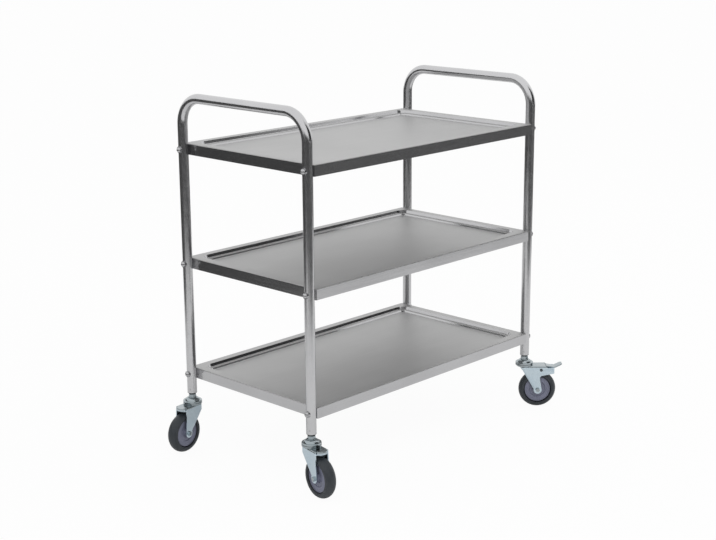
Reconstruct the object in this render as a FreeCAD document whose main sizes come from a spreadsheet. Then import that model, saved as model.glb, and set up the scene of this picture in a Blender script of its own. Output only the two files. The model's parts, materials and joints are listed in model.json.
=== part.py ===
"""Three-tier serving cart: bent tube end frames, pressed trays and four swivel casters.

Millimetres and degrees. The origin is on the floor under the middle of the cart, +Z is up,
X runs along the trays and Y across them. The right end (+X) carries the braked casters.
"""
import FreeCAD
import Part
import Sketcher
import math
import os
import re

doc = FreeCAD.newDocument("serving_cart")

# Driving dimensions: each one is set once here and can be changed by itself.
SIZES = [
    # end frames
    ("cart_height", 900),
    ("leg_spacing_x", 809),
    ("leg_spacing_y", 426),
    ("tube_dia", 24),
    ("tube_wall", 1.2),
    ("bend_radius", 65),
    # trays
    ("tray_rise", 62.6),
    ("tray_pitch", 283),
    ("tray_setback", 9.5),
    ("sheet", 1),
    ("tray_bend", 2.2),
    ("tray_corner", 3),
    ("skirt_height", 27),
    ("hem_width", 9),
    ("rim_width", 22),
    ("recess_radius", 26),
    ("upper_step_depth", 7),
    ("upper_step_run", 3),
    ("ledge_depth", 1.5),
    ("ledge_run", 7),
    ("lower_step_depth", 3.5),
    ("lower_step_run", 3),
    ("step_bend", 1.5),
    # tray fasteners
    ("bolt_dia", 6),
    ("bolt_head_dia", 13),
    ("bolt_head_height", 5),
    ("bolt_tail", 3),
    ("saddle_washer_dia", 16),
    ("saddle_washer_thickness", 2),
    ("spacer_width", 19),
    ("spacer_height", 18),
    ("spacer_thickness", 1.6),
    ("bolt_nut_flats", 10),
    ("bolt_nut_height", 5),
    # leg ends
    ("insert_flange", 2),
    ("insert_chamfer", 1.2),
    ("insert_length", 30),
    ("cross_pin_dia", 4),
    ("cross_pin_height", 10),
    ("cross_pin_angle", 27),
    ("pin_inset", 1),
    ("pin_sink", 0.3),
    ("stem_dia", 10),
    ("stem_grip", 26),
    ("stem_show", 3),
    ("lock_nut_flats", 17),
    ("lock_nut_height", 7),
    ("lock_washer_dia", 21),
    ("lock_washer_thickness", 2),
    # swivel housing
    ("housing_dia", 47),
    ("cup_wall", 2),
    ("cup_flare", 3),
    ("cup_depth", 4),
    ("swivel_gap", 1),
    ("cap_rim", 4),
    ("cap_dome_dia", 38),
    ("cap_dome_height", 6.4),
    ("cap_top_dia", 25),
    ("cap_dome_radius", 12),
    ("cap_rim_chamfer", 1),
    ("king_pin_dia", 11),
    ("king_pin_head_dia", 15),
    ("king_pin_head", 2.5),
    ("ball_circle_dia", 33),
    # forks
    ("crown_clearance", 17),
    ("fork_sheet", 2.5),
    ("fork_inner_width", 32),
    ("fork_bend", 8),
    ("crown_bend", 4),
    ("trail", 36),
    ("crown_front", 17),
    ("crown_rear", 41),
    ("crown_lobe_reach", 53),
    ("crown_lobe_radius", 14.5),
    ("crown_lobe_lip", 7),
    ("lobe_overlap", 8),
    ("lobe_bend", 2),
    ("crown_apron", 8),
    ("fork_shoulder", 18),
    ("axle_boss_radius", 11),
    ("boss_lead", 20),
    ("wheel_room", 1.5),
    # brakes
    ("brake_crown_front", 14.5),
    ("brake_crown_rear", 57),
    ("cheek_reach", 80),
    ("cheek_end_height", 15.5),
    ("cheek_drop", 5.5),
    ("throat_rise", 32),
    ("cheek_throat_radius", 8),
    ("pivot_back", 8.5),
    ("pivot_drop", 11),
    ("pivot_dia", 5),
    ("pivot_barrel_dia", 8),
    ("pivot_head_dia", 8),
    ("pivot_head", 1.5),
    ("pedal_width", 22),
    ("pedal_sheet", 3),
    ("pedal_bend", 79),
    ("pedal_reach", 101),
    ("pedal_crest", 1),
    ("pedal_gap", 2),
    ("pedal_fall", 4),
    ("pedal_rise", 10),
    ("shoe_clearance", 6),
    ("shoe_front", 18),
    ("shoe_rear", 30),
    ("pedal_corner", 7),
    ("rib_start", 10),
    ("rib_margin", 4),
    ("rib_height", 5),
    ("rib_rise", 1.2),
    ("rib_drop", 13),
    # wheels
    ("wheel_dia", 100),
    ("tyre_width", 28),
    ("tread_crown", 7),
    ("tyre_seat_dia", 69),
    ("tyre_foot_width", 17),
    ("tyre_wall_rise", 3),
    ("hub_disc_dia", 68),
    ("hub_disc_width", 19),
    ("hub_lip", 2),
    ("hub_lip_rise", 0.8),
    ("hub_dish_dia", 42),
    ("hub_dish_width", 15),
    ("hub_boss_dia", 22),
    ("hub_draft", 1),
    ("bush_dia", 10),
    ("axle_dia", 6),
    ("axle_head_flats", 10),
    ("axle_head_height", 4),
    ("axle_nut_height", 5),
    ("axle_tail", 2),
    # clearances
    ("running_fit", 0.05),
    ("slip_fit", 0.05),
    ("side_play", 0.3),
    # directions in which the casters trail, as they stand
    ("front_left_heading", -101),
    ("rear_left_heading", 188),
    ("front_right_heading", -46),
    ("rear_right_heading", 44),
]

# Dimensions that follow from the driving ones.
DERIVED = [
    ("leg_x", "leg_spacing_x / 2"),
    ("leg_y", "leg_spacing_y / 2"),
    ("tube_radius", "tube_dia / 2"),
    ("tray_half_length", "leg_x - tray_setback"),
    ("tray_half_width", "leg_y + tube_radius"),
    ("bolt_drop", "skirt_height / 2"),
    ("saddle_radius", "tube_radius + slip_fit"),
    ("bulge_radius", "saddle_radius + sheet"),
    ("head_seat", "tube_radius + slip_fit + saddle_washer_thickness"),
    ("nut_seat", "bulge_radius + slip_fit + spacer_thickness"),
    ("recess_depth", "upper_step_depth + ledge_depth + lower_step_depth"),
    ("step_run", "upper_step_run + ledge_run + lower_step_run"),
    ("axle_height", "wheel_dia / 2"),
    ("crown_height", "wheel_dia + crown_clearance"),
    ("crown_under", "crown_height - fork_sheet"),
    ("cup_top", "crown_height + cup_depth"),
    ("cap_bottom", "cup_top + swivel_gap"),
    ("cap_shoulder", "cap_bottom + cap_rim"),
    ("cap_top", "cap_shoulder + cap_dome_height"),
    ("washer_top", "cap_top + lock_washer_thickness"),
    ("lock_nut_top", "washer_top + lock_nut_height"),
    ("leg_end", "lock_nut_top + stem_show"),
    ("leg_bottom", "leg_end + insert_flange"),
    ("bottom_rim_height", "leg_bottom + tray_rise"),
    ("middle_rim_height", "bottom_rim_height + tray_pitch"),
    ("top_rim_height", "bottom_rim_height + 2 * tray_pitch"),
    ("fork_outer_width", "fork_inner_width + 2 * fork_sheet"),
    ("ball_dia", "cup_depth + swivel_gap - slip_fit - side_play"),
    ("pivot_x", "trail + pivot_back"),
    ("pivot_height", "crown_height - pivot_drop"),
    ("pedal_bend_height", "crown_height - pedal_crest - pedal_fall"),
    ("cheek_throat", "axle_height + throat_rise"),
    ("nose_foot", "crown_height - fork_shoulder"),
    ("heel_x", "trail - axle_boss_radius * cos(boss_lead)"),
    ("heel_height", "axle_height - axle_boss_radius * sin(boss_lead)"),
    ("shoe_radius", "wheel_dia / 2 + shoe_clearance"),
]

# name, side along X, side along Y, braked
CORNERS = [
    ("front_left", -1, -1, False),
    ("rear_left", -1, 1, False),
    ("front_right", 1, -1, True),
    ("rear_right", 1, 1, True),
]

BALL_COUNT = 8
# Distance under which a measured edge counts as lying on a plane.
NEAR = 0.01


def make_sheet():
    """Write the driving and derived dimensions into the document's sheet."""
    cells = [(name, str(size)) for name, size in SIZES]
    cells += [(name, "=" + rule) for name, rule in DERIVED]
    for name, side_x, side_y, braked in CORNERS:
        heading = f"{name}_heading"
        cells.append((f"{name}_x", f"={side_x} * leg_x"))
        cells.append((f"{name}_y", f"={side_y} * leg_y"))
        cells.append((f"{name}_axle_x", f"={name}_x + trail * cos({heading})"))
        cells.append((f"{name}_axle_y", f"={name}_y + trail * sin({heading})"))
        if braked:
            cells.append((f"{name}_pivot_x", f"={name}_x + pivot_x * cos({heading})"))
            cells.append((f"{name}_pivot_y", f"={name}_y + pivot_x * sin({heading})"))
    book = doc.addObject("Spreadsheet::Sheet", "Sizes")
    for row, (name, content) in enumerate(cells, start=1):
        book.set(f"A{row}", name)
        book.set(f"B{row}", content)
        book.setAlias(f"B{row}", name)
    doc.recompute()
    return book


sheet = make_sheet()


def formula(text):
    """Point the names in a short formula at the sheet's cells; functions stay as they are."""
    return re.sub(r"\b[a-z]\w*\b(?!\()", r"Sizes.\g<0>", text)


def value(text):
    """Work out a short formula over the sheet's names."""
    return float(sheet.evalExpression(formula(text)))


def bind(thing, prop, text):
    thing.setExpression(prop, formula(text))


def new_body(label):
    return doc.addObject("PartDesign::Body", label)


def origin_plane(body, role):
    return next(plane for plane in body.Origin.OriginFeatures if plane.Role == role)


def attach(thing, body, role, height=None):
    """Lay a sketch or a primitive on an origin plane, raised along the plane's normal."""
    thing.AttachmentSupport = [(origin_plane(body, role), "")]
    thing.MapMode = "FlatFace"
    if height is not None:
        bind(thing, "AttachmentOffset.Base.z", height)


def new_sketch(body, role, height=None):
    sketch = body.newObject("Sketcher::SketchObject", f"{body.Label}_sketch")
    attach(sketch, body, role, height)
    return sketch


def fix_point(sketch, side, end, x_rule, y_rule):
    """Tie one end (or the centre) of a side to its formulas."""
    for axis, rule in (("DistanceX", x_rule), ("DistanceY", y_rule)):
        index = sketch.addConstraint(Sketcher.Constraint(axis, -1, 1, side, end, value(rule)))
        bind(sketch, f"Constraints[{index}]", rule)


def arc_between(start, end, radius, turn):
    """Arc under a half circle from start to end; turn 1 runs anticlockwise, -1 clockwise."""
    chord = end - start
    half = chord.Length / 2
    left = FreeCAD.Vector(-chord.y, chord.x, 0).normalize()
    centre = (start + end) / 2 + left * turn * math.sqrt(radius ** 2 - half ** 2)
    first, last = (start, end) if turn > 0 else (end, start)
    angles = [math.atan2(p.y - centre.y, p.x - centre.x) for p in (first, last)]
    circle = Part.Circle(centre, FreeCAD.Vector(0, 0, 1), radius)
    return Part.ArcOfCircle(circle, angles[0], angles[1])


def draw_path(sketch, corners, arcs=None, closed=True):
    """Draw a chain of lines and arcs through corners, given as pairs of formulas.

    arcs maps a side's number to (radius formula, turn); side n runs from corner n to the next.
    """
    arcs = arcs or {}
    points = [FreeCAD.Vector(value(x), value(y), 0) for x, y in corners]
    count = len(points)
    ends = []
    for n in range(count if closed else count - 1):
        start, end = points[n], points[(n + 1) % count]
        if n in arcs:
            rule, turn = arcs[n]
            side = sketch.addGeometry(arc_between(start, end, value(rule), turn))
            ends.append((side, 1, 2) if turn > 0 else (side, 2, 1))
            index = sketch.addConstraint(Sketcher.Constraint("Radius", side, value(rule)))
            bind(sketch, f"Constraints[{index}]", rule)
        else:
            side = sketch.addGeometry(Part.LineSegment(start, end))
            ends.append((side, 1, 2))
    for n, (side, first, last) in enumerate(ends):
        fix_point(sketch, side, first, *corners[n])
        if closed or n < len(ends) - 1:
            following, following_first, _ = ends[(n + 1) % len(ends)]
            join = Sketcher.Constraint("Coincident", side, last, following, following_first)
            sketch.addConstraint(join)
        else:
            fix_point(sketch, side, last, *corners[n + 1])


def draw_circle(sketch, x_rule, y_rule, dia_rule):
    centre = FreeCAD.Vector(value(x_rule), value(y_rule), 0)
    circle = Part.Circle(centre, FreeCAD.Vector(0, 0, 1), value(dia_rule) / 2)
    side = sketch.addGeometry(circle)
    fix_point(sketch, side, 3, x_rule, y_rule)
    index = sketch.addConstraint(Sketcher.Constraint("Diameter", side, value(dia_rule)))
    bind(sketch, f"Constraints[{index}]", dia_rule)


def hexagon(flats):
    """Corners of a hexagon, as formulas of its width across flats."""
    corner = f"{flats} / sqrt(3)"
    half = f"{corner} / 2"
    return [
        (corner, "0"), (half, f"{flats} / 2"), (f"-{half}", f"{flats} / 2"),
        (f"-{corner}", "0"), (f"-{half}", f"-{flats} / 2"), (half, f"-{flats} / 2"),
    ]


def pad(body, sketch, length, symmetric=False, reverse=False):
    feature = body.newObject("PartDesign::Pad", f"{body.Label}_pad")
    feature.Profile = sketch
    feature.SideType = "Symmetric" if symmetric else "One side"
    feature.Reversed = reverse
    bind(feature, "Length", length)
    return feature


def cut(body, sketch, length=None, reverse=False):
    """Cut a sketch out of the body: through all, both ways, or to a length on one side."""
    feature = body.newObject("PartDesign::Pocket", f"{body.Label}_cut")
    feature.Profile = sketch
    feature.Reversed = reverse
    if length is None:
        feature.Type = "ThroughAll"
        feature.SideType = "Symmetric"
    else:
        feature.SideType = "One side"
        bind(feature, "Length", length)
    return feature


def cut_slot(body, sketch, width):
    """Cut a sketch out of the body over a width centred on the sketch's plane."""
    feature = body.newObject("PartDesign::Pocket", f"{body.Label}_slot")
    feature.Profile = sketch
    feature.SideType = "Symmetric"
    bind(feature, "Length", width)
    return feature


def revolve(body, sketch, axis):
    """Turn a sketch about its own vertical or horizontal axis."""
    feature = body.newObject("PartDesign::Revolution", f"{body.Label}_turned")
    feature.Profile = sketch
    feature.ReferenceAxis = (sketch, [axis])
    feature.Angle = 360
    return feature


def turned_body(label, corners, arcs=None, role="XZ_Plane", axis="V_Axis"):
    body = new_body(label)
    sketch = new_sketch(body, role)
    draw_path(sketch, corners, arcs)
    revolve(body, sketch, axis)
    return body


def round_edges(body, radius, chosen):
    """Round the edges of the body's last feature that a test picks."""
    doc.recompute()
    base = body.Tip
    names = [f"Edge{n}" for n, edge in enumerate(base.Shape.Edges, start=1) if chosen(edge)]
    feature = body.newObject("PartDesign::Fillet", f"{body.Label}_round")
    feature.Base = (base, names)
    bind(feature, "Radius", radius)
    return feature


def level_edge(level):
    """Test for an edge that lies wholly at one height."""
    height = value(level)

    def lies_level(edge):
        box = edge.BoundBox
        return abs(box.ZMin - height) < NEAR and abs(box.ZMax - height) < NEAR

    return lies_level


def place(thing, x_rule, y_rule, z_rule, heading=None):
    """Bind a piece's place, and its turn about the vertical, to the sheet."""
    thing.Placement.Rotation = FreeCAD.Rotation(FreeCAD.Vector(0, 0, 1), 0)
    bind(thing, "Placement.Base.x", x_rule)
    bind(thing, "Placement.Base.y", y_rule)
    bind(thing, "Placement.Base.z", z_rule)
    if heading is not None:
        bind(thing, "Placement.Rotation.Angle", heading)


nodes = []


def keep(thing):
    nodes.append(thing)
    return thing


def group(label, pattern, spots):
    """One node of separate solids: copies of a pattern body at (x, y, z, turn) formulas."""
    links = []
    for n, (x, y, z, turn) in enumerate(spots, start=1):
        link = doc.addObject("App::Link", f"{label}_{n}")
        link.LinkedObject = pattern
        link.LinkTransform = False
        place(link, x, y, z, turn)
        links.append(link)
    bundle = doc.addObject("Part::Compound", label)
    bundle.Links = links
    return keep(bundle)


def end_frame(label, side):
    """Inverted U of round tube: leg, handle, leg, bored for the tray bolts and cross pins."""
    body = new_body(label)
    path = new_sketch(body, "YZ_Plane")
    bend_start = "cart_height - tube_radius - bend_radius"
    handle_level = "cart_height - tube_radius"
    corners = [
        ("-leg_y", "leg_bottom"), ("-leg_y", bend_start), ("bend_radius - leg_y", handle_level),
        ("leg_y - bend_radius", handle_level), ("leg_y", bend_start), ("leg_y", "leg_bottom"),
    ]
    draw_path(path, corners, {1: ("bend_radius", -1), 3: ("bend_radius", -1)}, closed=False)
    ring = new_sketch(body, "XY_Plane", "leg_bottom")
    draw_circle(ring, "0", "-leg_y", "tube_dia")
    draw_circle(ring, "0", "-leg_y", "tube_dia - 2 * tube_wall")
    tube = body.newObject("PartDesign::AdditivePipe", f"{label}_tube")
    tube.Profile = ring
    tube.Spine = (path, [f"Edge{n}" for n in range(1, len(corners))])
    bores = new_sketch(body, "YZ_Plane")
    for level in ("bottom_rim_height", "middle_rim_height", "top_rim_height"):
        for leg in ("-leg_y", "leg_y"):
            draw_circle(bores, leg, f"{level} - bolt_drop", "bolt_dia + 2 * slip_fit")
    cut(body, bores)
    for leg in ("-leg_y", "leg_y"):
        cross_bore(body, leg, "leg_bottom + cross_pin_height")
    place(body, f"{side} * leg_x", "0", "0")
    return keep(body)


def cross_bore(body, y_rule, z_rule):
    """Hole of a cross pin, through one upright round piece at (0, y)."""
    bore = body.newObject("PartDesign::SubtractiveCylinder", f"{body.Label}_cross_bore")
    attach(bore, body, "XY_Plane")
    turn = FreeCAD.Rotation(value("cross_pin_angle"), 90, 0)
    bore.AttachmentOffset = FreeCAD.Placement(FreeCAD.Vector(0, 0, 0), turn)
    bind(bore, "Radius", "cross_pin_dia / 2 + slip_fit")
    bind(bore, "Height", "2 * tube_dia")
    bind(bore, "AttachmentOffset.Base.x", "-tube_dia * cos(cross_pin_angle)")
    bind(bore, "AttachmentOffset.Base.y", f"{y_rule} - tube_dia * sin(cross_pin_angle)")
    bind(bore, "AttachmentOffset.Base.z", z_rule)


def scalloped_rectangle(half_length, half_width, corner, radius, reach):
    """Tray outline with round corners, whose ends dip round the four legs.

    radius is the dip's radius about a leg's axis and reach the axis's distance past the end.
    """
    half_dip = f"sqrt(({radius}) * ({radius}) - ({reach}) * ({reach}))"
    inner = f"leg_y - {half_dip}"
    outer = f"leg_y + {half_dip}"
    corners = []
    arcs = {}
    quarter_turns = (("", "-"), ("", ""), ("-", ""), ("-", "-"))
    for x_sign, y_sign in quarter_turns:
        on_end = f"{x_sign}({half_length})"
        on_side = f"{y_sign}({half_width})"
        side_end = (f"{x_sign}({half_length} - ({corner}))", on_side)
        end_end = (on_end, f"{y_sign}({half_width} - ({corner}))")
        far, near = (on_end, f"{y_sign}({outer})"), (on_end, f"{y_sign}({inner})")
        first = len(corners)
        if (x_sign == "") == (y_sign == "-"):
            corners += [side_end, end_end, far, near]
            bend, dip = first, first + 2
        else:
            corners += [near, far, end_end, side_end]
            bend, dip = first + 2, first
        arcs[bend] = (corner, 1)
        arcs[dip] = (radius, -1)
    return corners, arcs


def rounded_rectangle(half_length, half_width, radius):
    """Rectangle with round corners, from the middle of its +X side, anticlockwise."""
    x, y, r = half_length, half_width, radius
    corners = [
        (x, "0"), (x, f"{y} - ({r})"), (f"{x} - ({r})", y), (f"-({x}) + {r}", y),
        (f"-({x})", f"{y} - ({r})"), (f"-({x})", f"-({y}) + {r}"), (f"-({x}) + {r}", f"-({y})"),
        (f"{x} - ({r})", f"-({y})"), (x, f"-({y}) + {r}"),
    ]
    return corners, {n: (r, 1) for n in (1, 3, 5, 7)}


def tray(label, rim_height):
    """Pressed tray: hemmed skirt, flat rim and a panel sunk by two steps, saddled on the legs."""
    body = new_body(label)
    block = new_sketch(body, "XY_Plane")
    outer = scalloped_rectangle(
        "tray_half_length", "tray_half_width", "tray_corner", "saddle_radius", "tray_setback")
    draw_path(block, *outer)
    pad(body, block, "skirt_height", reverse=True)
    round_edges(body, "tray_bend", level_edge("0"))
    hollow = new_sketch(body, "XY_Plane", "-skirt_height")
    inner = scalloped_rectangle(
        "tray_half_length - sheet", "tray_half_width - sheet", "tray_corner - sheet", "bulge_radius",
        "tray_setback + sheet")
    draw_path(hollow, *inner)
    cut(body, hollow, "skirt_height - sheet", reverse=True)
    round_edges(body, "tray_bend - sheet", level_edge("-sheet"))
    hem = new_sketch(body, "XY_Plane", "-skirt_height")
    draw_path(hem, *outer)
    hem_inner = rounded_rectangle(
        "tray_half_length - hem_width", "tray_half_width - hem_width", "hem_width")
    draw_path(hem, *hem_inner)
    pad(body, hem, "sheet")
    mouth = new_sketch(body, "XY_Plane")
    edge = rounded_rectangle(
        "tray_half_length - rim_width", "tray_half_width - rim_width", "recess_radius")
    draw_path(mouth, *edge)
    cut(body, mouth, "2 * sheet")
    panel = new_sketch(body, "XY_Plane", "-recess_depth")
    draw_path(panel, *rounded_rectangle(
        "tray_half_length - rim_width - step_run", "tray_half_width - rim_width - step_run",
        "recess_radius - step_run"))
    pad(body, panel, "sheet", reverse=True)
    step_wall(body)
    for depth in ("upper_step_depth", "upper_step_depth + ledge_depth", "recess_depth"):
        round_edges(body, "step_bend", level_edge(f"-({depth})"))
    bores = new_sketch(body, "YZ_Plane")
    for leg in ("-leg_y", "leg_y"):
        draw_circle(bores, leg, "-bolt_drop", "bolt_dia + 2 * slip_fit")
    cut(body, bores)
    place(body, "0", "0", rim_height)
    return keep(body)


def step_wall(body):
    """Sheet strip that goes down from the rim to the panel, swept round the recess."""
    path = new_sketch(body, "XY_Plane")
    draw_path(path, *rounded_rectangle(
        "tray_half_length - rim_width", "tray_half_width - rim_width", "recess_radius"))
    strip = new_sketch(body, "XZ_Plane")
    edge = "tray_half_length - rim_width"
    runs = ["0", "upper_step_run", "upper_step_run + ledge_run", "step_run"]
    drops = ["0", "upper_step_depth", "upper_step_depth + ledge_depth", "recess_depth"]
    upper = [(f"{edge} - ({run})", f"-({drop})") for run, drop in zip(runs, drops)]
    lower = [(f"{edge} - ({run}) + sheet", f"-({drop}) - sheet") for run, drop in zip(runs, drops)]
    foot = [(f"{edge} - step_run", "-recess_depth - sheet")]
    brow = [(f"{edge} + sheet", "0")]
    draw_path(strip, upper + foot + lower[-2:0:-1] + [lower[0]] + brow)
    wall = body.newObject("PartDesign::AdditivePipe", f"{body.Label}_step")
    wall.Profile = strip
    wall.Spine = (path, [f"Edge{n}" for n in range(1, 10)])
    wall.Transition = "Right corner"


def tray_fasteners():
    """Bolts, saddle washers, curved spacers and nuts where each leg crosses each tray."""
    spots = []
    for level in ("bottom_rim_height", "middle_rim_height", "top_rim_height"):
        for name, side_x, side_y, braked in CORNERS:
            turn = "0" if side_x > 0 else "180"
            spots.append((f"{name}_x", f"{name}_y", f"{level} - bolt_drop", turn))

    half_head = "bolt_head_dia / 2"
    dome = f"({half_head} * {half_head} + bolt_head_height * bolt_head_height) / (2 * bolt_head_height)"
    bolt = turned_body("tray_bolt", [
        ("-nut_seat - bolt_nut_height - bolt_tail", "0"),
        ("head_seat + bolt_head_height", "0"),
        ("head_seat", half_head),
        ("head_seat", "bolt_dia / 2"),
        ("-nut_seat - bolt_nut_height - bolt_tail", "bolt_dia / 2"),
    ], {1: (dome, 1)}, role="XY_Plane", axis="H_Axis")
    group("tray_bolts", bolt, spots)

    washer = new_body("saddle_washer")
    disc = new_sketch(washer, "YZ_Plane")
    draw_circle(disc, "0", "0", "saddle_washer_dia")
    draw_circle(disc, "0", "0", "bolt_dia + 2 * slip_fit")
    pad(washer, disc, "head_seat")
    tube_room = new_sketch(washer, "XY_Plane")
    draw_circle(tube_room, "0", "0", "2 * saddle_radius")
    cut(washer, tube_room)
    group("tray_bolt_washers", washer, spots)

    spacer = new_body("curved_spacer")
    plate = new_sketch(spacer, "YZ_Plane", "-nut_seat")
    draw_path(plate, [
        ("-spacer_width / 2", "-spacer_height / 2"), ("spacer_width / 2", "-spacer_height / 2"),
        ("spacer_width / 2", "spacer_height / 2"), ("-spacer_width / 2", "spacer_height / 2")])
    draw_circle(plate, "0", "0", "bolt_dia + 2 * slip_fit")
    pad(spacer, plate, "nut_seat - tray_setback - sheet - slip_fit")
    bulge_room = new_sketch(spacer, "XY_Plane")
    draw_circle(bulge_room, "0", "0", "2 * (bulge_radius + slip_fit)")
    cut(spacer, bulge_room)
    group("tray_curved_spacers", spacer, spots)

    nut = new_body("tray_bolt_nut")
    hex_face = new_sketch(nut, "YZ_Plane", "-nut_seat")
    draw_path(hex_face, hexagon("bolt_nut_flats"))
    draw_circle(hex_face, "0", "0", "bolt_dia + 2 * slip_fit")
    pad(nut, hex_face, "bolt_nut_height", reverse=True)
    group("tray_bolt_nuts", nut, spots)


def leg_ends():
    """Threaded inserts and cross pins in the legs, with the lock nuts and washers below them."""
    spots = [(f"{name}_x", f"{name}_y", "0", "0") for name, side_x, side_y, braked in CORNERS]
    bore = "stem_dia / 2 + slip_fit"
    plug = "tube_radius - tube_wall - slip_fit"
    insert = turned_body("leg_insert", [
        (bore, "leg_end"),
        ("tube_radius - insert_chamfer", "leg_end"),
        ("tube_radius", "leg_end + insert_chamfer"),
        ("tube_radius", "leg_bottom"),
        (plug, "leg_bottom"),
        (plug, "leg_bottom + insert_length"),
        (bore, "leg_bottom + insert_length"),
    ])
    cross_bore(insert, "0", "leg_bottom + cross_pin_height")
    group("leg_inserts", insert, spots)

    pin = turned_body("leg_pin", [
        ("stem_dia / 2 + pin_inset", "0"),
        ("tube_radius - pin_sink", "0"),
        ("tube_radius - pin_sink", "cross_pin_dia / 2"),
        ("stem_dia / 2 + pin_inset", "cross_pin_dia / 2"),
    ], role="XY_Plane", axis="H_Axis")
    level = "leg_bottom + cross_pin_height"
    turns = ("cross_pin_angle", "cross_pin_angle + 180")
    group("leg_pins", pin, [(x, y, level, turn) for x, y, _, _ in spots for turn in turns])

    nut = new_body("lock_nut")
    hex_face = new_sketch(nut, "XY_Plane", "washer_top")
    draw_path(hex_face, hexagon("lock_nut_flats"))
    draw_circle(hex_face, "0", "0", "stem_dia + 2 * slip_fit")
    pad(nut, hex_face, "lock_nut_height")
    group("caster_lock_nuts", nut, spots)

    washer = new_body("lock_washer")
    ring = new_sketch(washer, "XY_Plane", "cap_top")
    draw_circle(ring, "0", "0", "lock_washer_dia")
    draw_circle(ring, "0", "0", "stem_dia + 2 * slip_fit")
    pad(washer, ring, "lock_washer_thickness")
    group("caster_lock_washers", washer, spots)


def stem(label):
    """Threaded stem with the king pin and its riveted head at the lower end."""
    head_top = "crown_under - side_play"
    return turned_body(label, [
        ("0", f"{head_top} - king_pin_head"),
        ("king_pin_head_dia / 2", f"{head_top} - king_pin_head"),
        ("king_pin_head_dia / 2", head_top),
        ("king_pin_dia / 2", head_top),
        ("king_pin_dia / 2", "cap_top"),
        ("stem_dia / 2", "cap_top"),
        ("stem_dia / 2", "leg_end + stem_grip"),
        ("0", "leg_end + stem_grip"),
    ])


def swivel_cap(label):
    """Domed upper race, fixed on the king pin."""
    bore = "king_pin_dia / 2 + slip_fit"
    return turned_body(label, [
        (bore, "cap_bottom"),
        ("housing_dia / 2", "cap_bottom"),
        ("housing_dia / 2", "cap_shoulder - cap_rim_chamfer"),
        ("housing_dia / 2 - cap_rim_chamfer", "cap_shoulder"),
        ("cap_dome_dia / 2", "cap_shoulder"),
        ("cap_top_dia / 2", "cap_top"),
        (bore, "cap_top"),
    ], {4: ("cap_dome_radius", 1)})


def swivel_balls(label, name):
    """Ring of balls between the fork's cup and the cap."""
    ball = doc.addObject("Part::Sphere", f"{name}_ball")
    bind(ball, "Radius", "ball_dia / 2")
    level = "crown_height + slip_fit + ball_dia / 2"
    spots = []
    for n in range(BALL_COUNT):
        angle = f"{name}_heading + {n * 360 / BALL_COUNT}"
        x = f"{name}_x + ball_circle_dia / 2 * cos({angle})"
        y = f"{name}_y + ball_circle_dia / 2 * sin({angle})"
        spots.append((x, y, level, "0"))
    group(label, ball, spots)


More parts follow.
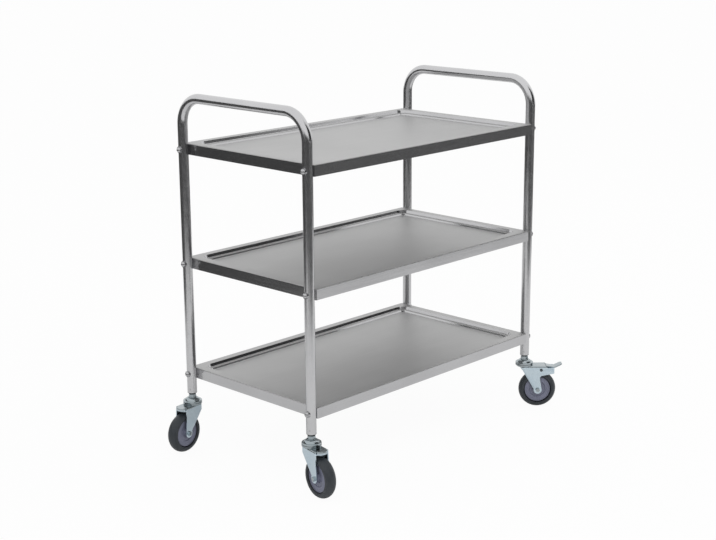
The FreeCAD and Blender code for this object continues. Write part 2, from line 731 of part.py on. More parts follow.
def fork(label, braked):
    """Drawn sheet fork: round nose, two tapered cheeks with rolled front edges, crown and ball cup."""
    body = new_body(label)
    cheek = new_sketch(body, "XZ_Plane")
    boss = [
        ("heel_x", "heel_height"),
        ("trail", "axle_height - axle_boss_radius"),
        ("trail + axle_boss_radius", "axle_height"),
    ]
    if braked:
        nose, foot, crown_end = "brake_crown_front", "crown_height", "brake_crown_rear"
        front = [(f"-{nose}", foot)] + boss
        rear = [
            ("crown_rear", "cheek_throat"),
            ("crown_rear + cheek_throat_radius", "cheek_throat + cheek_throat_radius"),
            ("cheek_reach", "crown_height - cheek_drop - cheek_end_height"),
            ("cheek_reach", "crown_height - cheek_drop"),
            (f"{crown_end} + cheek_drop", "crown_height - cheek_drop"),
            (crown_end, "crown_height"),
        ]
        arcs = {len(front): ("cheek_throat_radius", -1)}
    else:
        nose, foot, crown_end = "crown_front", "nose_foot", "crown_rear"
        front = [(f"-{nose}", "crown_height"), (f"-{nose}", foot)] + boss
        rear = [(crown_end, "crown_height")]
        arcs = {}
    for side in (len(front) - 3, len(front) - 2):
        arcs[side] = ("axle_boss_radius", 1)
    draw_path(cheek, front + rear, arcs)
    pad(body, cheek, "fork_outer_width", symmetric=True)
    round_edges(body, "fork_bend", front_edge("fork_outer_width / 2"))

    # The room between the cheeks follows the front edge, one sheet further in.
    run, drop = f"({nose} + heel_x)", f"({foot} - heel_height)"
    shift = f"fork_sheet * sqrt({run} * {run} + {drop} * {drop}) / {drop}"
    if braked:
        inner_nose = [(f"{shift} + fork_sheet * {run} / {drop} - {nose}", "crown_under")]
    else:
        inner_nose = [
            (f"fork_sheet - {nose}", f"{foot} + ({shift} - fork_sheet) * {drop} / {run}"),
            (f"fork_sheet - {nose}", "crown_under"),
        ]
    room = new_sketch(body, "XZ_Plane")
    draw_path(room, inner_nose + [
        ("2 * cheek_reach", "crown_under"),
        ("2 * cheek_reach", "0"),
        (f"-{nose}", "0"),
        (f"-{nose}", "heel_height"),
        (f"heel_x + {shift}", "heel_height"),
    ])
    cut_slot(body, room, "fork_inner_width")
    round_edges(body, "fork_bend - fork_sheet", front_edge("fork_inner_width / 2"))
    rear_limit = value(crown_end) - NEAR
    on_crown = level_edge("crown_height")
    round_edges(body, "crown_bend", lambda edge: on_crown(edge) and edge.CenterOfMass.x < rear_limit)
    wheel_slot = new_sketch(body, "XZ_Plane")
    draw_path(wheel_slot, [
        ("-2 * crown_front", "crown_under - crown_apron"),
        ("trail", "crown_under - crown_apron"),
        ("trail", "0"),
        ("-2 * crown_front", "0"),
    ])
    cut_slot(body, wheel_slot, "tyre_width + 2 * wheel_room")
    bush_seat = new_sketch(body, "XZ_Plane")
    draw_circle(bush_seat, "trail", "axle_height", "bush_dia + 2 * side_play")
    cut_slot(body, bush_seat, "fork_inner_width")
    if braked:
        open_crown(body)
        cheek_ribs(body)
    else:
        crown_lobe(body)

    cup = new_sketch(body, "XZ_Plane")
    draw_path(cup, [
        ("king_pin_dia / 2", "crown_under"),
        ("housing_dia / 2 - cup_flare", "crown_under"),
        ("housing_dia / 2", "crown_under + cup_flare"),
        ("housing_dia / 2", "cup_top"),
        ("housing_dia / 2 - cup_wall", "cup_top"),
        ("housing_dia / 2 - cup_wall", "crown_height"),
        ("king_pin_dia / 2", "crown_height"),
    ])
    revolve(body, cup, "V_Axis")
    king_bore = new_sketch(body, "XY_Plane")
    draw_circle(king_bore, "0", "0", "king_pin_dia + 2 * running_fit")
    cut(body, king_bore)
    cross_bores = new_sketch(body, "XZ_Plane")
    draw_circle(cross_bores, "trail", "axle_height", "axle_dia + 2 * slip_fit")
    if braked:
        draw_circle(cross_bores, "pivot_x", "pivot_height", "pivot_dia + 2 * slip_fit")
    cut(body, cross_bores)
    return body


def front_edge(half_width):
    """Test for the edges along the nose and the slope below it, on both cheeks."""
    side = value(half_width)
    rear = value("trail / 2")
    low = value("heel_height")
    high = value("crown_under")

    def lies_in_front(edge):
        middle = edge.CenterOfMass
        box = edge.BoundBox
        upright = box.ZMax - box.ZMin > NEAR
        between = box.ZMin > low - NEAR and middle.z < high
        return upright and between and middle.x < rear and abs(abs(middle.y) - side) < NEAR

    return lies_in_front


def cheek_ribs(body):
    """Long bead pressed outwards along each beak of the braked fork."""
    start, end = "crown_rear + rib_start", "cheek_reach - rib_margin"
    middle = "crown_height - rib_drop"
    low, high = f"{middle} - rib_height / 2", f"{middle} + rib_height / 2"
    for outwards, side in ((False, ""), (True, "-")):
        rib = new_sketch(body, "XZ_Plane", f"{side}(fork_outer_width / 2)")
        draw_path(rib, [
            (start, low), (end, low), (f"{end} + rib_height / 2", middle),
            (end, high), (start, high), (f"{start} - rib_height / 2", middle),
        ], {n: ("rib_height / 2", 1) for n in (1, 2, 4, 5)})
        pad(body, rib, "rib_rise", reverse=outwards)


def open_crown(body):
    """Open the braked fork's crown above the pedal."""
    gap = new_sketch(body, "XZ_Plane")
    draw_path(gap, [
        ("brake_crown_rear", "crown_under - fork_sheet"),
        ("2 * cheek_reach", "crown_under - fork_sheet"),
        ("2 * cheek_reach", "2 * crown_height"),
        ("brake_crown_rear", "2 * crown_height"),
    ])
    cut_slot(body, gap, "fork_inner_width")


def lobe_outline(start, inset):
    """Tongue over the wheel with a round end, drawn in from its edge by inset."""
    radius = f"crown_lobe_radius - {inset}"
    straight_end = "crown_lobe_reach - crown_lobe_radius"
    corners = [
        (start, f"-({radius})"),
        (straight_end, f"-({radius})"),
        (f"{straight_end} + {radius}", "0"),
        (straight_end, radius),
        (start, radius),
    ]
    return corners, {1: (radius, 1), 2: (radius, 1)}


def crown_lobe(body):
    """Round tongue of the plain fork's crown, with a turned-down lip."""
    lobe = new_sketch(body, "XY_Plane", "crown_height")
    draw_path(lobe, *lobe_outline("crown_rear - lobe_overlap", "0"))
    pad(body, lobe, "crown_lobe_lip", reverse=True)
    hollow = new_sketch(body, "XY_Plane", "crown_under")
    draw_path(hollow, *lobe_outline("crown_rear - lobe_overlap - fork_sheet", "fork_sheet"))
    cut(body, hollow, "crown_lobe_lip")
    lobe_start = value("crown_rear") + NEAR
    on_crown = level_edge("crown_height")
    round_edges(body, "lobe_bend", lambda edge: on_crown(edge) and edge.CenterOfMass.x > lobe_start)


def axle_bolt(label):
    body = new_body(label)
    shank = new_sketch(body, "XZ_Plane", "fork_outer_width / 2")
    draw_circle(shank, "0", "0", "axle_dia")
    pad(body, shank, "fork_outer_width + axle_nut_height + axle_tail", reverse=True)
    head = new_sketch(body, "XZ_Plane", "fork_outer_width / 2")
    draw_path(head, hexagon("axle_head_flats"))
    pad(body, head, "axle_head_height")
    return body


def axle_nut(label):
    body = new_body(label)
    face = new_sketch(body, "XZ_Plane", "-fork_outer_width / 2")
    draw_path(face, hexagon("axle_head_flats"))
    draw_circle(face, "0", "0", "axle_dia + 2 * slip_fit")
    pad(body, face, "axle_nut_height", reverse=True)
    return body


def axle_bush(label):
    body = new_body(label)
    ring = new_sketch(body, "XZ_Plane")
    draw_circle(ring, "0", "0", "bush_dia")
    draw_circle(ring, "0", "0", "axle_dia + 2 * slip_fit")
    pad(body, ring, "fork_inner_width - 2 * slip_fit", symmetric=True)
    return body


def wheel_hub(label):
    """Moulded hub: long boss, dished middle, flat disc with a raised lip, and the tyre's seat."""
    boss = "tyre_width / 2 + wheel_room - side_play"
    half = [
        ("bush_dia / 2 + running_fit", boss),
        ("hub_boss_dia / 2", boss),
        ("hub_boss_dia / 2 + hub_draft", "hub_dish_width / 2"),
        ("hub_dish_dia / 2", "hub_dish_width / 2"),
        ("hub_dish_dia / 2 + hub_draft", "hub_disc_width / 2"),
        ("hub_disc_dia / 2 - hub_lip", "hub_disc_width / 2"),
        ("hub_disc_dia / 2 - hub_lip", "hub_disc_width / 2 + hub_lip_rise"),
        ("hub_disc_dia / 2", "hub_disc_width / 2 + hub_lip_rise"),
        ("hub_disc_dia / 2", "tyre_foot_width / 2"),
        ("tyre_seat_dia / 2", "tyre_foot_width / 2"),
    ]
    other_half = [(radius, f"-({offset})") for radius, offset in reversed(half)]
    return turned_body(label, half + other_half, role="XY_Plane")


def tyre(label):
    """Soft tyre with a round tread and leaning side walls."""
    seat = "tyre_seat_dia / 2 + slip_fit"
    shoulder = "wheel_dia / 2 - tread_crown"
    tread = "(tread_crown * tread_crown + tyre_width * tyre_width / 4) / (2 * tread_crown)"
    return turned_body(label, [
        (seat, "-tyre_foot_width / 2"),
        (f"{seat} + tyre_wall_rise", "-tyre_width / 2"),
        (shoulder, "-tyre_width / 2"),
        (shoulder, "tyre_width / 2"),
        (f"{seat} + tyre_wall_rise", "tyre_width / 2"),
        (seat, "tyre_foot_width / 2"),
    ], {2: (tread, 1)}, role="XY_Plane")


def brake_pedal(label):
    """Pedal on the fork's cross pin: barrel, arm, brake shoe and upturned tongue."""
    body = new_body(label)
    arm = new_sketch(body, "XZ_Plane")
    tongue_x = "pedal_sheet * pedal_rise / (pedal_reach - pedal_bend)"
    shoe_level = "axle_height + sqrt(shoe_radius * shoe_radius - {0} * {0})"
    draw_path(arm, [
        ("pivot_x", "pivot_height + pivot_barrel_dia / 2"),
        ("brake_crown_rear", "crown_height - fork_sheet - pedal_crest"),
        ("brake_crown_rear + pedal_gap", "crown_height - pedal_crest"),
        ("pedal_bend", "pedal_bend_height"),
        ("pedal_reach", "pedal_bend_height + pedal_rise"),
        (f"pedal_reach + {tongue_x}", "pedal_bend_height + pedal_rise - pedal_sheet"),
        (f"pedal_bend + {tongue_x}", "pedal_bend_height - pedal_sheet"),
        ("trail + shoe_rear", "pedal_bend_height - pedal_sheet"),
        ("trail + shoe_rear", shoe_level.format("shoe_rear")),
        ("trail + shoe_front", shoe_level.format("shoe_front")),
        ("pivot_x", "pivot_height - pivot_barrel_dia / 2"),
    ])
    pad(body, arm, "pedal_width", symmetric=True)
    barrel = new_sketch(body, "XZ_Plane")
    draw_circle(barrel, "pivot_x", "pivot_height", "pivot_barrel_dia")
    pad(body, barrel, "pedal_width", symmetric=True)
    bore = new_sketch(body, "XZ_Plane")
    draw_circle(bore, "pivot_x", "pivot_height", "pivot_dia + 2 * running_fit")
    cut(body, bore)
    tip = value("pedal_reach")
    side = value("pedal_width / 2")
    thickness = value("2 * pedal_sheet")

    def on_tip_corner(edge):
        middle = edge.CenterOfMass
        return middle.x > tip and abs(abs(middle.y) - side) < NEAR and edge.Length < thickness

    round_edges(body, "pedal_corner", on_tip_corner)
    return body


def brake_pin(label):
    """Riveted cross pin that carries the pedal."""
    outside = "fork_outer_width / 2 + slip_fit"
    return turned_body(label, [
        ("0", f"-({outside}) - pivot_head"),
        ("pivot_head_dia / 2", f"-({outside}) - pivot_head"),
        ("pivot_head_dia / 2", f"-({outside})"),
        ("pivot_dia / 2", f"-({outside})"),
        ("pivot_dia / 2", outside),
        ("pivot_head_dia / 2", outside),
        ("pivot_head_dia / 2", f"{outside} + pivot_head"),
        ("0", f"{outside} + pivot_head"),
    ], role="XY_Plane")


def caster(name, braked):
    """One swivel caster under a leg, turned to its heading."""
    heading = f"{name}_heading"
    on_swivel = (f"{name}_x", f"{name}_y", "0", heading)
    on_axle = (f"{name}_axle_x", f"{name}_axle_y", "axle_height", heading)
    swivel_balls(f"{name}_swivel_balls", name)
    place(keep(stem(f"{name}_stem")), *on_swivel)
    place(keep(swivel_cap(f"{name}_swivel_cap")), *on_swivel)
    place(keep(fork(f"{name}_fork", braked)), *on_swivel)
    for piece, make in (
            ("axle_bolt", axle_bolt), ("axle_nut", axle_nut), ("axle_bush", axle_bush),
            ("wheel_hub", wheel_hub), ("tyre", tyre)):
        place(keep(make(f"{name}_{piece}")), *on_axle)
    if braked:
        place(keep(brake_pedal(f"{name}_brake_pedal")), *on_swivel)
        on_pivot = (f"{name}_pivot_x", f"{name}_pivot_y", "pivot_height", heading)
        place(keep(brake_pin(f"{name}_brake_pin")), *on_pivot)


def write_parts():
    """Rebuild everything, stop on any failed piece, then write one file for each node."""
    doc.recompute()
    failed = [thing.Label for thing in doc.Objects if {"Invalid", "Error"} & set(thing.State)]
    failed += [node.Label for node in nodes if node.Shape.isNull() or not node.Shape.isValid()]
    if failed:
        raise RuntimeError(f"pieces that did not build: {failed}")
    os.makedirs("parts", exist_ok=True)
    for node in nodes:
        node.Shape.exportStep(f"parts/{node.Label}.step")


end_frame("left_end_frame", -1)
end_frame("right_end_frame", 1)
tray("bottom_tray", "bottom_rim_height")
tray("middle_tray", "middle_rim_height")
tray("top_tray", "top_rim_height")
tray_fasteners()
leg_ends()
for corner_name, _, _, corner_braked in CORNERS:
    caster(corner_name, corner_braked)
write_parts()
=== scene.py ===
"""Looks of the serving cart: steel, zinc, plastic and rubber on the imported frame, in a white studio."""
import json
import math

import bmesh
import bpy
from mathutils import Matrix, Vector


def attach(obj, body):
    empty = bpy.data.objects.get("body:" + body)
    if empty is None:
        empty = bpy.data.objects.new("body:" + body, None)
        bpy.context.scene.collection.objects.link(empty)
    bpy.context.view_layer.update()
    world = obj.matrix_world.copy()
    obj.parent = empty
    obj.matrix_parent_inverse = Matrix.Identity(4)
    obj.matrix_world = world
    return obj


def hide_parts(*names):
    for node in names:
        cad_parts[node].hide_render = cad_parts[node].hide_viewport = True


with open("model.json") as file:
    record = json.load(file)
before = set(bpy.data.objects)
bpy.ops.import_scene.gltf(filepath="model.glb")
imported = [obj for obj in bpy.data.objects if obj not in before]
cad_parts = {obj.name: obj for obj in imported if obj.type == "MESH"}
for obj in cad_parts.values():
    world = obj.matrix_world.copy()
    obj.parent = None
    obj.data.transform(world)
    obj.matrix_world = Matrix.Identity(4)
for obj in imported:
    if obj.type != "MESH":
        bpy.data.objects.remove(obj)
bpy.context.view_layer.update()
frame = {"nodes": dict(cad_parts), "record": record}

# Camera, in metres and degrees: yaw from +Y towards +X, pitch downwards.
CAMERA_PLACE = (-2.5570, -2.4239, 1.3326)
CAMERA_YAW = 46.274
CAMERA_PITCH = 14.497
CAMERA_ROLL = -0.348
CAMERA_LENS_MM = 71.44
SENSOR_MM = 36.0

# Studio floors, in metres, in a plan turned by the camera's yaw: x to its right, y away from it.
PAPER_OUTLINE = ((-1.6, -2.1), (0.2, -2.1), (3.1, 0.85), (1.3, 1.6), (-1.6, 3.0))
HORIZON_REACH = 60
HORIZON_DROP = 0.002
ROOM_REACH = 9
ROOM_DROP = 0.01

# Upright flags in the same plan: start, end, height of the foot, and of the top at the start and the end.
LEFT_FLAG = ((-2.6, -3.0), (-2.6, 2.0), 0.0, 1.0, 1.0)
FRONT_FLAG = ((-4.0, -4.6), (4.0, -4.6), 0.0, 1.7, 1.7)
RIGHT_FLAG = ((3.2, -3.0), (3.2, 1.6), 0.6, 7.0, 0.65)

PAPER_WHITE = (0.80, 0.80, 0.80)
PAPER_ROUGHNESS = 0.9
ROOM_GREY = (0.075, 0.075, 0.075)
FLAG_BLACK = (0.02, 0.02, 0.02)
ROOM_ROUGHNESS = 0.8

# Share of plain white in the paper as the camera and as reflections see it; the rest takes the shadow.
FLOOR_GLOW = 0.95
MIRRORED_GLOW = 0.25

# World light: its colour, and its strength on the object and where it is seen.
WORLD_WHITE = (1, 1, 1, 1)
SOFT_STRENGTH = 0.8
BACKDROP_STRENGTH = 1.0

# Square lamps, in metres in the cart's own frame: place and watts of each, side, and point aimed at.
LAMPS = {
    "key_lamp": ((-1.5, -2.0, 3.2), 30),
    "fill_lamp": ((2.6, -1.6, 2.6), 15),
}
LAMP_SIDE = 2.0
LAMP_AIM = (0, 0, 0.5)

# Noise from low to high runs through the whole range of a finish.
NOISE_LOW = 0.3
NOISE_HIGH = 0.7

# Finishes: cells of noise to the metre, detail of the noise, and relief with its depth in metres.
CLOUD_CELLS = 5.0
LINE_DETAIL = 6.0
LINE_RELIEF = 0.05
LINE_DEPTH = 0.0002
ZINC_TONE_CELLS = 25.0
ZINC_GLOSS_CELLS = 60.0
METAL_TONE_DETAIL = 2.0
PLASTIC_TONE_CELLS = 40.0
PLASTIC_GLOSS_CELLS = 300.0
PLASTIC_GLOSS_DRIFT = 0.08
PLASTIC_GRAIN_CELLS = 1500.0
PLASTIC_DETAIL = 4.0
GRAIN_RELIEF = 0.15
GRAIN_DEPTH = 0.0001

SMOOTH_ANGLE = math.radians(25)
WELD_DISTANCE = 1e-6
FLAT_FACE_WEIGHT = 100
# Upright share of a tray face's normal under which it counts as a bright wall: outer bends, inner steps.
BEND_SLOPE = 0.2
STEP_SLOPE = 0.9
# Height of the lower edge of a caster's crown, above which the fork gets painted shade, and reach of the
# groove between hub and tyre, in metres.
CROWN_EDGE = 0.1125
# Within this reach of the axle the tyre is painted near black: painted shade in the groove.
GROOVE_REACH = 0.0385


class NodeTree:
    """Short calls to add nodes to the tree of a material or of the world."""

    def __init__(self, tree):
        self.tree = tree

    def node(self, kind, values=None):
        """New node, with values for some of its inputs."""
        made = self.tree.nodes.new(kind)
        for name, value in (values or {}).items():
            made.inputs[name].default_value = value
        return made

    def link(self, source, target):
        self.tree.links.new(source, target)

    def combine(self, operation, first, second):
        """Value worked out from an output and from another output or a plain number."""
        made = self.node("ShaderNodeMath")
        made.operation = operation
        self.link(first, made.inputs[0])
        if isinstance(second, float):
            made.inputs[1].default_value = second
        else:
            self.link(second, made.inputs[1])
        return made.outputs["Value"]

    def rays(self):
        """Whether the camera sees the surface, and whether a reflection or glass shows it."""
        path = self.node("ShaderNodeLightPath").outputs
        mirrored = self.combine("MAXIMUM", path["Is Glossy Ray"], path["Is Transmission Ray"])
        return path["Is Camera Ray"], mirrored

    def blend(self, share, first, second, output):
        """Lead a mix of two shaders, by the share of the second, to an output node."""
        mix = self.node("ShaderNodeMixShader")
        self.link(share, mix.inputs["Fac"])
        self.link(first, mix.inputs[1])
        self.link(second, mix.inputs[2])
        self.link(mix.outputs["Shader"], self.tree.nodes[output].inputs["Surface"])


class Shader(NodeTree):
    """A material with a principled surface, and calls that give it texture."""

    def __init__(self, name, color, roughness, metallic=0.0):
        self.material = bpy.data.materials.new(name)
        self.material.use_nodes = True
        super().__init__(self.material.node_tree)
        self.surface = self.tree.nodes["Principled BSDF"]
        self.surface.inputs["Base Color"].default_value = (*color, 1)
        self.surface.inputs["Roughness"].default_value = roughness
        self.surface.inputs["Metallic"].default_value = metallic

    def noise(self, cells, detail):
        """Noise in object space; the mapping sets its cells to the metre along each axis."""
        place = self.node("ShaderNodeTexCoord")
        mapping = self.node("ShaderNodeMapping", {"Scale": cells})
        noise = self.node("ShaderNodeTexNoise", {"Scale": 1.0, "Detail": detail})
        self.link(place.outputs["Object"], mapping.inputs["Vector"])
        self.link(mapping.outputs["Vector"], noise.inputs["Vector"])
        return noise.outputs["Fac"]

    def shade(self, value, dark, light):
        """Base colour that drifts between two colours."""
        ramp = self.node("ShaderNodeValToRGB")
        start, end = ramp.color_ramp.elements
        start.position = NOISE_LOW
        start.color = (*dark, 1)
        end.position = NOISE_HIGH
        end.color = (*light, 1)
        self.link(value, ramp.inputs["Fac"])
        self.link(ramp.outputs["Color"], self.surface.inputs["Base Color"])

    def roughen(self, value, low, high):
        """Roughness that drifts between two values."""
        spread = self.node("ShaderNodeMapRange", {
            "From Min": NOISE_LOW,
            "From Max": NOISE_HIGH,
            "To Min": low,
            "To Max": high,
        })
        self.link(value, spread.inputs["Value"])
        self.link(spread.outputs["Result"], self.surface.inputs["Roughness"])

    def bump(self, value, relief, depth):
        """Fine relief of the surface, of a strength and a depth."""
        bump = self.node("ShaderNodeBump", {"Strength": relief, "Distance": depth})
        self.link(value, bump.inputs["Height"])
        self.link(bump.outputs["Normal"], self.surface.inputs["Normal"])


def even(cells):
    """The same number of cells along each axis."""
    return (cells, cells, cells)


def brushed_steel(name, dark, light, line_cells, roughness):
    """Stainless steel with a fine finish; few line cells along an axis draw it out into lines there."""
    steel = Shader(name, light, max(roughness), metallic=1.0)
    lines = steel.noise(line_cells, LINE_DETAIL)
    clouds = steel.noise(even(CLOUD_CELLS), METAL_TONE_DETAIL)
    steel.shade(clouds, dark, light)
    steel.roughen(lines, *roughness)
    steel.bump(lines, LINE_RELIEF, LINE_DEPTH)
    return steel.material


def zinc_plating(name, dark, light, roughness):
    """Bluish plated steel with a faint drift of tone and gloss."""
    zinc = Shader(name, light, max(roughness), metallic=1.0)
    zinc.shade(zinc.noise(even(ZINC_TONE_CELLS), METAL_TONE_DETAIL), dark, light)
    zinc.roughen(zinc.noise(even(ZINC_GLOSS_CELLS), METAL_TONE_DETAIL), *roughness)
    return zinc.material


def moulded_plastic(name, dark, light, roughness):
    """Plastic or rubber with a fine moulded grain."""
    plastic = Shader(name, light, roughness)
    tone = plastic.noise(even(PLASTIC_TONE_CELLS), PLASTIC_DETAIL)
    gloss = plastic.noise(even(PLASTIC_GLOSS_CELLS), PLASTIC_DETAIL)
    grain = plastic.noise(even(PLASTIC_GRAIN_CELLS), PLASTIC_DETAIL)
    plastic.shade(tone, dark, light)
    plastic.roughen(gloss, roughness - PLASTIC_GLOSS_DRIFT, roughness + PLASTIC_GLOSS_DRIFT)
    plastic.bump(grain, GRAIN_RELIEF, GRAIN_DEPTH)
    return plastic.material


PANEL_STEEL = brushed_steel(
    "panel_steel", dark=(0.47, 0.47, 0.47), light=(0.50, 0.50, 0.50),
    line_cells=(8, 500, 500), roughness=(0.46, 0.54))
SKIRT_STEEL = brushed_steel(
    "skirt_steel", dark=(0.50, 0.50, 0.51), light=(0.55, 0.55, 0.56),
    line_cells=(8, 8, 500), roughness=(0.12, 0.20))
TUBE_STEEL = brushed_steel(
    "tube_steel", dark=(0.57, 0.57, 0.58), light=(0.62, 0.62, 0.63),
    line_cells=(60, 60, 60), roughness=(0.18, 0.24))
FASTENER_STEEL = brushed_steel(
    "fastener_steel", dark=(0.44, 0.44, 0.45), light=(0.52, 0.52, 0.53),
    line_cells=(400, 400, 400), roughness=(0.15, 0.25))
# Two copies of one zinc: the plain one, and a shaded one painted darker to stand in for shade and dark
# reflections.
PLAIN_ZINC = zinc_plating(
    "plain_zinc", dark=(0.55, 0.66, 0.74), light=(0.62, 0.72, 0.78), roughness=(0.18, 0.26))
SHADED_ZINC = zinc_plating(
    "shaded_zinc", dark=(0.34, 0.39, 0.41), light=(0.42, 0.46, 0.48), roughness=(0.14, 0.20))
DARK_ZINC = zinc_plating(
    "dark_zinc", dark=(0.08, 0.09, 0.10), light=(0.12, 0.13, 0.14), roughness=(0.25, 0.35))
INSERT_PLASTIC = moulded_plastic(
    "insert_plastic", dark=(0.03, 0.03, 0.032), light=(0.05, 0.05, 0.053), roughness=0.5)
HUB_PLASTIC = moulded_plastic(
    "hub_plastic", dark=(0.165, 0.174, 0.237), light=(0.195, 0.204, 0.277), roughness=0.42)
RUBBER = moulded_plastic(
    "tyre_rubber", dark=(0.021, 0.026, 0.032), light=(0.034, 0.040, 0.047), roughness=0.5)
# Near-black copy of the tyre rubber for the groove between hub and tyre: painted shade.
SHADED_GROOVE_RUBBER = moulded_plastic(
    "shaded_groove_rubber", dark=(0.007, 0.007, 0.011), light=(0.012, 0.012, 0.017), roughness=0.6)

MATERIAL_OF_SLOT = {
    "stainless": TUBE_STEEL,
    "bright_fastener": FASTENER_STEEL,
    # The other zinc parts all take the shaded zinc: painted shade.
    "zinc": SHADED_ZINC,
    "insert_plastic": INSERT_PLASTIC,
    "hub_plastic": HUB_PLASTIC,
    "tyre": RUBBER,
}


def paint(mesh, node, slot):
    """Give a mesh its material, and some of its faces a second one."""
    if node.endswith("_tray"):
        two_tone(mesh, PANEL_STEEL, SKIRT_STEEL, is_wall)
    elif node.endswith("_fork"):
        # The crown and lobe above the crown's edge take the shaded zinc, painted darker as shade; the
        # cheeks take the plain zinc.
        two_tone(mesh, PLAIN_ZINC, SHADED_ZINC, lambda face: face.center.z > CROWN_EDGE)
    elif node.endswith("_tyre"):
        axle = axle_of(node)
        # The tyre's faces in the groove near the axle take the near-black rubber as painted shade.
        two_tone(mesh, RUBBER, SHADED_GROOVE_RUBBER, lambda face: (face.center - axle).length < GROOVE_REACH)
    elif node.endswith("_brake_pin"):
        mesh.materials.append(DARK_ZINC)
    else:
        mesh.materials.append(MATERIAL_OF_SLOT[slot])


def two_tone(mesh, base, accent, has_accent):
    """Give a mesh two materials, the second on the faces that a test picks."""
    mesh.materials.append(base)
    mesh.materials.append(accent)
    mesh.polygons.foreach_set("material_index", [int(has_accent(face)) for face in mesh.polygons])


def is_wall(face):
    """Whether a tray face belongs to the skirt or to a step of the recess."""
    outwards = face.normal.xy.dot(face.center.xy) > 0
    return abs(face.normal.z) < (BEND_SLOPE if outwards else STEP_SLOPE)


def axle_of(tyre):
    """Middle of the wheel that carries a tyre."""
    spin = tyre.replace("_tyre", "_wheel_spin")
    joints = frame["record"]["behaviour"]["joints"]
    return Vector(next(joint["pos_m"] for joint in joints if joint["name"] == spin))


def body_of_node(node):
    """Name of the body that a node moves with."""
    bodies = frame["record"]["behaviour"]["bodies"]
    return next(name for name, members in bodies.items() if node in members)


def smooth_copy(node):
    """Copy of a node's mesh that shades smoothly between its sharp edges."""
    form = bmesh.new()
    form.from_mesh(frame["nodes"][node].data)
    bmesh.ops.remove_doubles(form, verts=form.verts, dist=WELD_DISTANCE)
    for face in form.faces:
        face.smooth = True
    for edge in form.edges:
        edge.smooth = edge.calc_face_angle(0.0) < SMOOTH_ANGLE
    mesh = bpy.data.meshes.new(f"{node}_look")
    form.to_mesh(mesh)
    form.free()
    return mesh


def dress(node, slot):
    """Stand a painted copy of a node in its place, on the node's body."""
    mesh = smooth_copy(node)
    paint(mesh, node, slot)
    piece = bpy.data.objects.new(f"{node}_look", mesh)
    bpy.context.scene.collection.objects.link(piece)
    flatten = piece.modifiers.new("flat_faces", "WEIGHTED_NORMAL")
    flatten.weight = FLAT_FACE_WEIGHT
    flatten.keep_sharp = True
    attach(piece, body_of_node(node))
    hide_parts(node)


def add_camera():
    """Camera at its place, turned by its yaw, pitch and roll."""
    yaw, pitch, roll = (math.radians(angle) for angle in (CAMERA_YAW, CAMERA_PITCH, CAMERA_ROLL))
    forward = Vector((
        math.sin(yaw) * math.cos(pitch), math.cos(yaw) * math.cos(pitch), -math.sin(pitch)))
    level = Vector((math.cos(yaw), -math.sin(yaw), 0))
    rise = level.cross(forward)
    right = level * math.cos(roll) + rise * math.sin(roll)
    up = right.cross(forward)
    turn = Matrix((right, up, -forward)).transposed()
    camera = bpy.data.cameras.new("camera")
    camera.sensor_width = SENSOR_MM
    camera.lens = CAMERA_LENS_MM
    seat = bpy.data.objects.new("camera", camera)
    seat.matrix_world = Matrix.Translation(CAMERA_PLACE) @ turn.to_4x4()
    bpy.context.scene.collection.objects.link(seat)
    bpy.context.scene.camera = seat


def add_stage_sheet(name, material, corners):
    """Flat sheet of the studio, given by its corners in the turned plan."""
    mesh = bpy.data.meshes.new(name)
    mesh.from_pydata(corners, [], [tuple(range(len(corners)))])
    mesh.materials.append(material)
    sheet = bpy.data.objects.new(name, mesh)
    sheet.rotation_euler.z = -math.radians(CAMERA_YAW)
    bpy.context.scene.collection.objects.link(sheet)
    return sheet


def square(reach):
    return ((-reach, -reach), (reach, -reach), (reach, reach), (-reach, reach))


def level_corners(outline, height):
    return [(x, y, height) for x, y in outline]


def upright_corners(start, end, foot, start_top, end_top):
    return [(*start, foot), (*end, foot), (*end, end_top), (*start, start_top)]


def white_paper():
    """Matte paper with a glow that makes it white to the camera, and lifts it a little in reflections."""
    paper = Shader("white_paper", PAPER_WHITE, PAPER_ROUGHNESS)
    glow = paper.node("ShaderNodeEmission").outputs["Emission"]
    seen, mirrored = paper.rays()
    share = paper.combine(
        "MAXIMUM",
        paper.combine("MULTIPLY", seen, FLOOR_GLOW),
        paper.combine("MULTIPLY", mirrored, MIRRORED_GLOW))
    paper.blend(share, paper.surface.outputs["BSDF"], glow, "Material Output")
    return paper.material


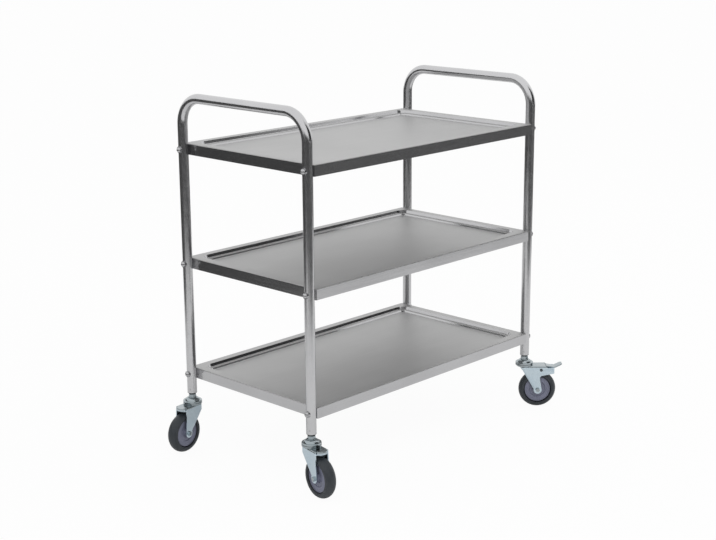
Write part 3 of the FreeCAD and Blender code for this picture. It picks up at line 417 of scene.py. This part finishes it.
def add_floor():
    """Paper under the cart, and a wider sheet below that hides the paper's edge from the camera."""
    paper = white_paper()
    add_stage_sheet("floor", paper, level_corners(PAPER_OUTLINE, 0.0))
    far_floor = add_stage_sheet("far_floor", paper, level_corners(square(HORIZON_REACH), -HORIZON_DROP))
    far_floor.visible_glossy = False
    far_floor.visible_diffuse = False
    far_floor.visible_shadow = False


def add_room():
    """Dim floor and flags around the paper, seen only in reflections."""
    dim = Shader("dim_room", ROOM_GREY, ROOM_ROUGHNESS).material
    black = Shader("black_flag", FLAG_BLACK, ROOM_ROUGHNESS).material
    for name, material, corners in (
            ("room_floor", dim, level_corners(square(ROOM_REACH), -ROOM_DROP)),
            ("left_flag", dim, upright_corners(*LEFT_FLAG)),
            ("front_flag", dim, upright_corners(*FRONT_FLAG)),
            ("right_flag", black, upright_corners(*RIGHT_FLAG))):
        sheet = add_stage_sheet(name, material, corners)
        sheet.visible_camera = False
        sheet.visible_diffuse = False
        sheet.visible_shadow = False


def light_world():
    """White backdrop to the camera and in reflections, with softer light on the object."""
    world = bpy.data.worlds.new("studio")
    world.use_nodes = True
    bpy.context.scene.world = world
    sky = NodeTree(world.node_tree)
    soft = sky.tree.nodes["Background"]
    soft.inputs["Color"].default_value = WORLD_WHITE
    soft.inputs["Strength"].default_value = SOFT_STRENGTH
    white = sky.node("ShaderNodeBackground", {"Color": WORLD_WHITE, "Strength": BACKDROP_STRENGTH})
    share = sky.combine("MAXIMUM", *sky.rays())
    sky.blend(share, soft.outputs["Background"], white.outputs["Background"], "World Output")


def add_lamps():
    """Soft lamps that light the cart and don't show in reflections."""
    for name, (place, power) in LAMPS.items():
        lamp = bpy.data.lights.new(name, "AREA")
        lamp.size = LAMP_SIDE
        lamp.energy = power
        holder = bpy.data.objects.new(name, lamp)
        holder.location = place
        holder.rotation_mode = "QUATERNION"
        holder.rotation_quaternion = (Vector(LAMP_AIM) - Vector(place)).to_track_quat("-Z", "Y")
        holder.visible_glossy = False
        bpy.context.scene.collection.objects.link(holder)


for subpart in frame["record"]["subparts"]:
    dress(subpart["node"], subpart["material_slot"])

add_camera()
add_floor()
add_room()
light_world()
add_lamps()
bpy.context.scene.view_settings.view_transform = "Standard"
